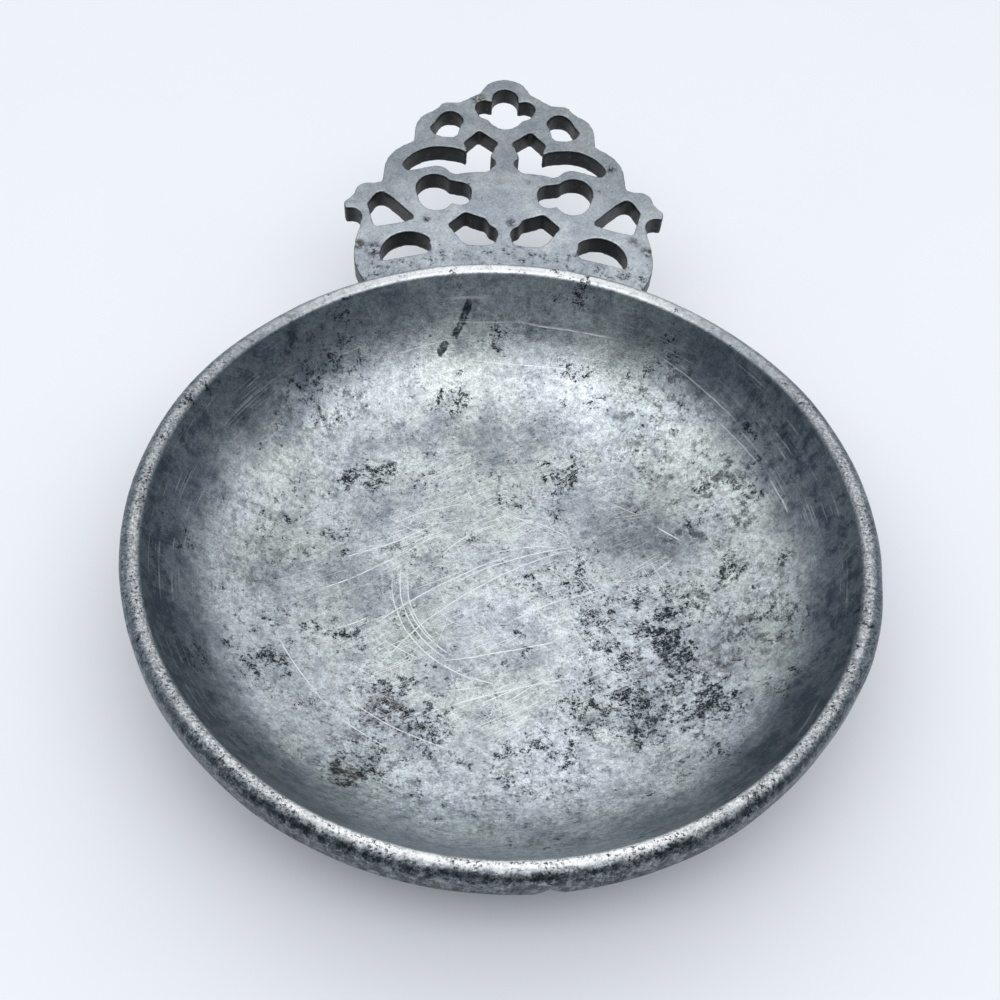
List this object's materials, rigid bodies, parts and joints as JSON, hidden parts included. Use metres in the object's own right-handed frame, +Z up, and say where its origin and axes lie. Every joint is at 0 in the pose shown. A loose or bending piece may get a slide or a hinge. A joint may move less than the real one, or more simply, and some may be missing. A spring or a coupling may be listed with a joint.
{
  "type": "porringer",
  "caption": "Shallow round pewter bowl with a thick rounded lip and a flat, pierced crown-shaped handle that rises a little from its rim.",
  "frame": {"origin": "centre of the bowl's flat base, on the table", "axes": "+Z up, +Y out from the bowl's middle towards the handle, +X to the right of someone who looks along +Y"},
  "size_m": [0.127, 0.1767, 0.03],
  "materials": {
    "bowl_pewter": "worn satin pewter, cool grey, scratched and spotted with dark oxide",
    "handle_pewter": "dull satin cast pewter, darker grey than the bowl, with soft worn edges"
  },
  "bodies": {
    "root": {"bowl": "bowl_pewter", "handle": "handle_pewter"}
  },
  "joints": []
}
